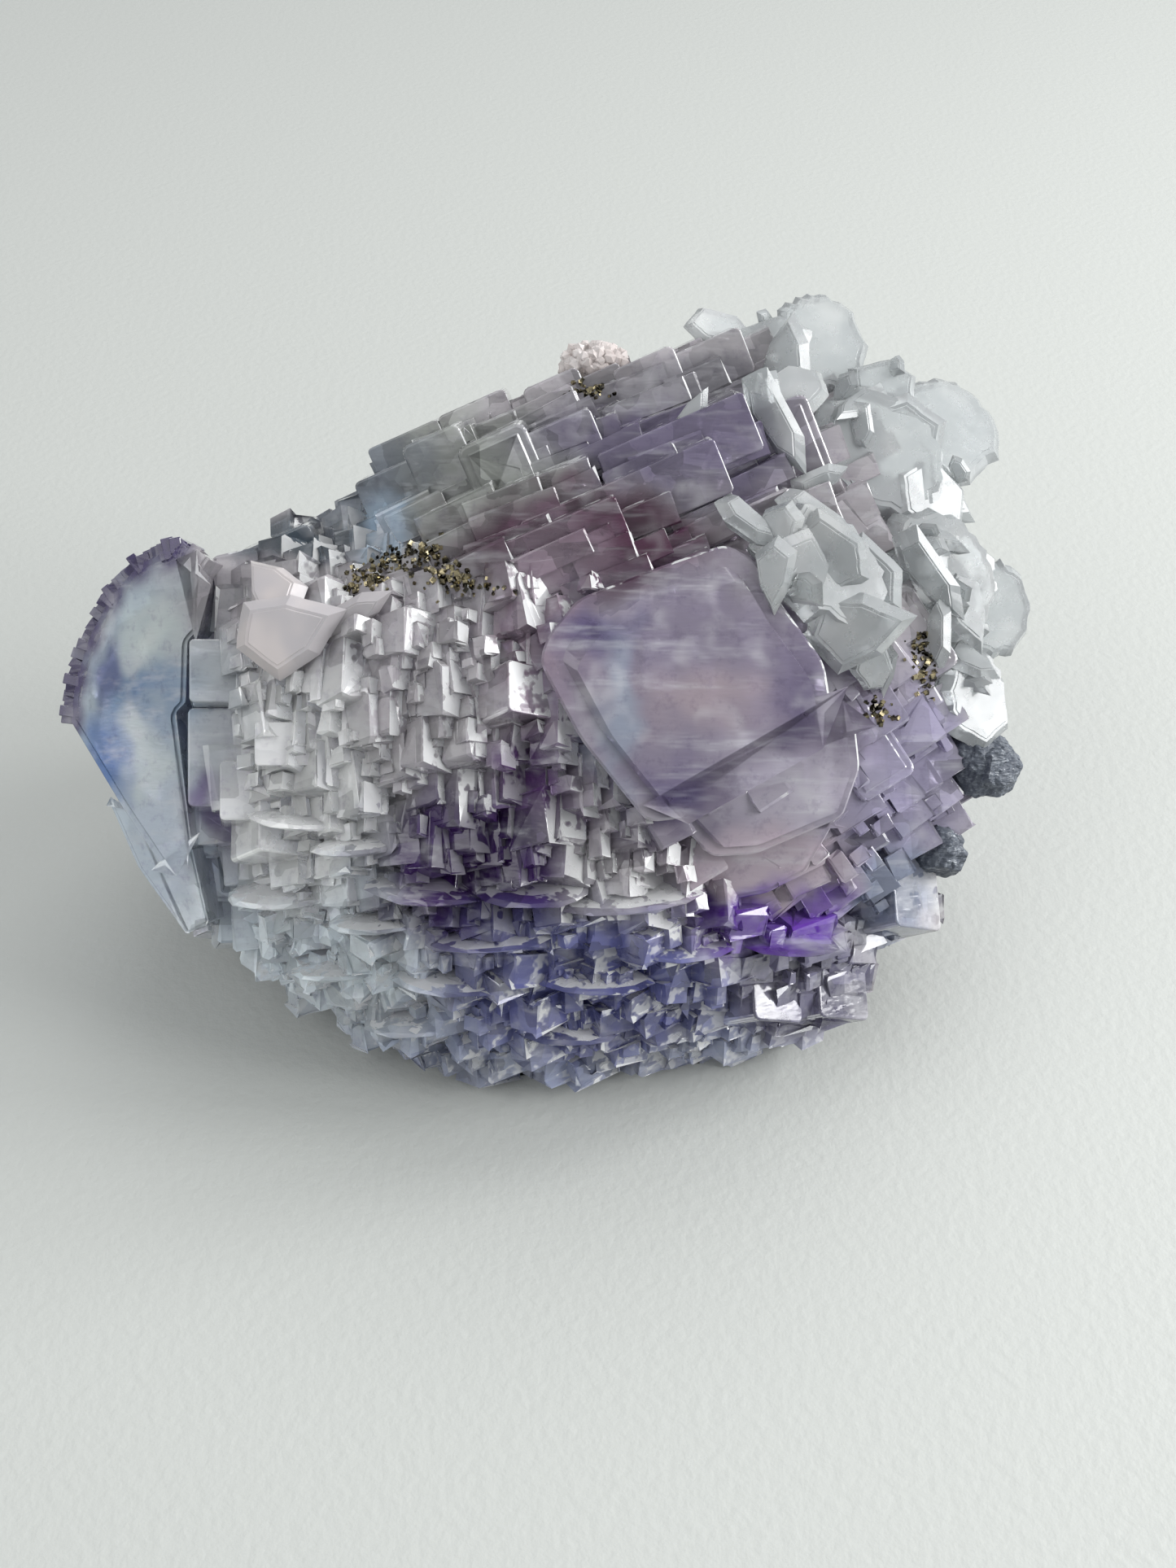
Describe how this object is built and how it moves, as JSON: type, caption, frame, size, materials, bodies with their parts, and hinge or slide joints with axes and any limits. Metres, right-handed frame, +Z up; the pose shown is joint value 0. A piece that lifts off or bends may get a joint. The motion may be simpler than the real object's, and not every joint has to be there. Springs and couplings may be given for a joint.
{
  "type": "fluorite mineral specimen",
  "caption": "Stepped purple, blue and grey fluorite crystals grown into one mass, with white calcite blades, pyrite crusts and dark rock on it, resting on a flat base.",
  "frame": {"origin": "on the surface that the specimen rests on, under the middle of its box", "axes": "+X to the right along its length and away from the pointed end, +Y to its back, +Z up"},
  "size_m": [0.0874, 0.0598, 0.0557],
  "materials": {
    "fluorite": "clear to cloudy, purple in the middle, blue-green at the pointed end, stepped crystal faces",
    "calcite": "white, frosted and see-through at the rims",
    "calcite_pink": "pale pinkish white, frosted",
    "rosette": "granular, pale pink",
    "pyrite": "dark brassy cubes, bright on their faces",
    "rock": "dark bluish grey, rough"
  },
  "bodies": {
    "root": {"fluorite": "fluorite", "calcite_ridge": "calcite", "calcite_long_blade": "calcite", "calcite_upper": "calcite", "calcite_splinter": "calcite", "calcite_right": "calcite", "calcite_front": "calcite", "calcite_lower": "calcite", "calcite_chip": "calcite", "calcite_left": "calcite_pink", "calcite_rosette": "rosette", "pyrite_left": "pyrite", "pyrite_top": "pyrite", "pyrite_right": "pyrite", "pyrite_lower": "pyrite", "rock_right": "rock", "rock_lower": "rock"}
  },
  "joints": []
}
